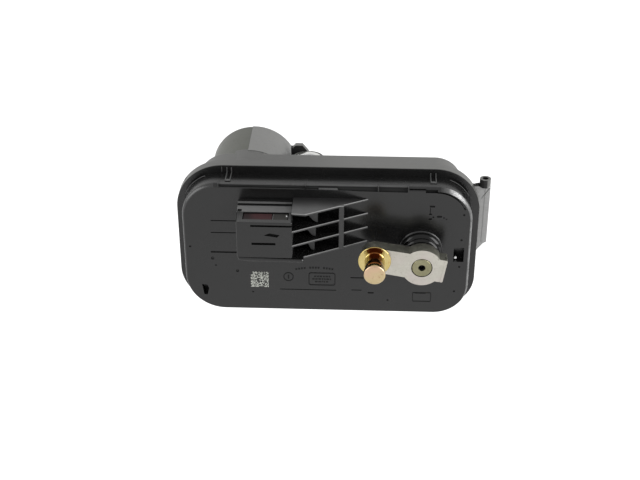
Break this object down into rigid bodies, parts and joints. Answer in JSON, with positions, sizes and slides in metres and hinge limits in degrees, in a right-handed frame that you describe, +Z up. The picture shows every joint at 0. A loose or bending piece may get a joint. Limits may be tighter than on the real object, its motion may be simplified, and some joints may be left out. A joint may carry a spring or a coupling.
{
  "type": "rotary actuator",
  "caption": "Electric rotary actuator: flat black gear case with a side-facing connector, rear motor barrel and a short steel lever with a drive pin on the output shaft.",
  "frame": {"origin": "on the lower end face of the compression sleeve of the mounting lug beside the motor barrel, 5.4 mm behind its bolt axis", "axes": "+X along the case towards the lever end, +Y away from the cover towards the motor barrel, +Z up along the mounting bolts"},
  "size_m": [0.1405, 0.088, 0.0718],
  "materials": {
    "case_plastic": "glass-filled black nylon, fine satin",
    "cover_plastic": "glass-filled black nylon, satin",
    "seal_rubber": "glossy wet-looking rubber",
    "bead": "cured bonding bead",
    "lever_steel": "stamped steel, satin",
    "shaft_steel": "turned steel with a thin olive zinc film",
    "pin_zinc": "turned steel, yellow zinc plated",
    "steel": "plain steel",
    "bronze": "sintered bronze",
    "copper": "bare and enamelled copper",
    "gear_plastic": "natural acetal",
    "dark_plastic": "moulded dark plastic",
    "carrier_plastic": "dark red-brown moulded plastic",
    "grey_plastic": "grey-brown moulded plastic",
    "magnet": "ferrite",
    "laminations": "stacked steel sheet",
    "board": "green solder mask over glass laminate",
    "membrane": "white vent membrane"
  },
  "bodies": {
    "case": {"housing": "case_plastic", "cover": "cover_plastic", "lock_slide": "carrier_plastic", "lock_end": "grey_plastic", "terminal_carrier": "carrier_plastic", "vent_disc": "membrane", "sealing_bead": "bead", "lug_sleeve_a": "steel", "lug_sleeve_b": "steel", "shaft_seal": "seal_rubber", "shaft_bush_front": "bronze", "shaft_bush_rear": "bronze", "axle_one": "steel", "axle_two": "steel", "motor_can": "steel", "motor_endbell": "dark_plastic", "magnet_upper": "magnet", "magnet_lower": "magnet", "brush_upper": "dark_plastic", "brush_lower": "dark_plastic", "motor_bush_front": "bronze", "motor_bush_rear": "bronze", "motor_screw_1": "steel", "motor_screw_2": "steel", "circuit_board": "board", "control_chip": "dark_plastic", "driver_chip": "dark_plastic", "sensor_chip": "dark_plastic", "capacitor_can": "steel", "choke": "magnet", "terminal_1": "steel", "terminal_2": "steel", "terminal_3": "steel", "terminal_4": "steel", "terminal_5": "steel"},
    "output": {"output_shaft": "shaft_steel", "lever": "lever_steel", "drive_pin": "pin_zinc", "shaft_circlip": "steel", "output_sector": "gear_plastic", "sensor_target": "steel", "sensor_hub": "dark_plastic"},
    "gear_one_body": {"gear_one": "gear_plastic"},
    "gear_two_body": {"gear_two": "gear_plastic"},
    "rotor": {"motor_shaft": "steel", "motor_pinion": "bronze", "armature_core": "laminations", "armature_winding": "copper", "commutator": "copper"}
  },
  "joints": [
    {"name": "rotor_spin", "type": "hinge", "parent": "case", "child": "rotor", "pos_m": [-0.0265, -0.0154, 0.0084], "axis": [0, -1, 0], "range_deg": [-2362, 472]},
    {"name": "gear_one_spin", "type": "hinge", "parent": "case", "child": "gear_one_body", "pos_m": [-0.00647, -0.0304, 0.00031], "axis": [0, -1, 0], "range_deg": [-135, 675]},
    {"name": "gear_two_spin", "type": "hinge", "parent": "case", "child": "gear_two_body", "pos_m": [0.01851, -0.0254, 0.00127], "axis": [0, -1, 0], "range_deg": [-262.5, 52.5]},
    {"name": "output_turn", "type": "hinge", "parent": "case", "child": "output", "pos_m": [0.052, -0.0454, -0.0029], "axis": [0, -1, 0], "range_deg": [-15, 75]}
  ],
  "couplings": [
    {"joint": "gear_one_spin", "follows": "rotor_spin", "ratio": -0.28571},
    {"joint": "gear_two_spin", "follows": "rotor_spin", "ratio": 0.11111},
    {"joint": "output_turn", "follows": "rotor_spin", "ratio": -0.031746}
  ]
}
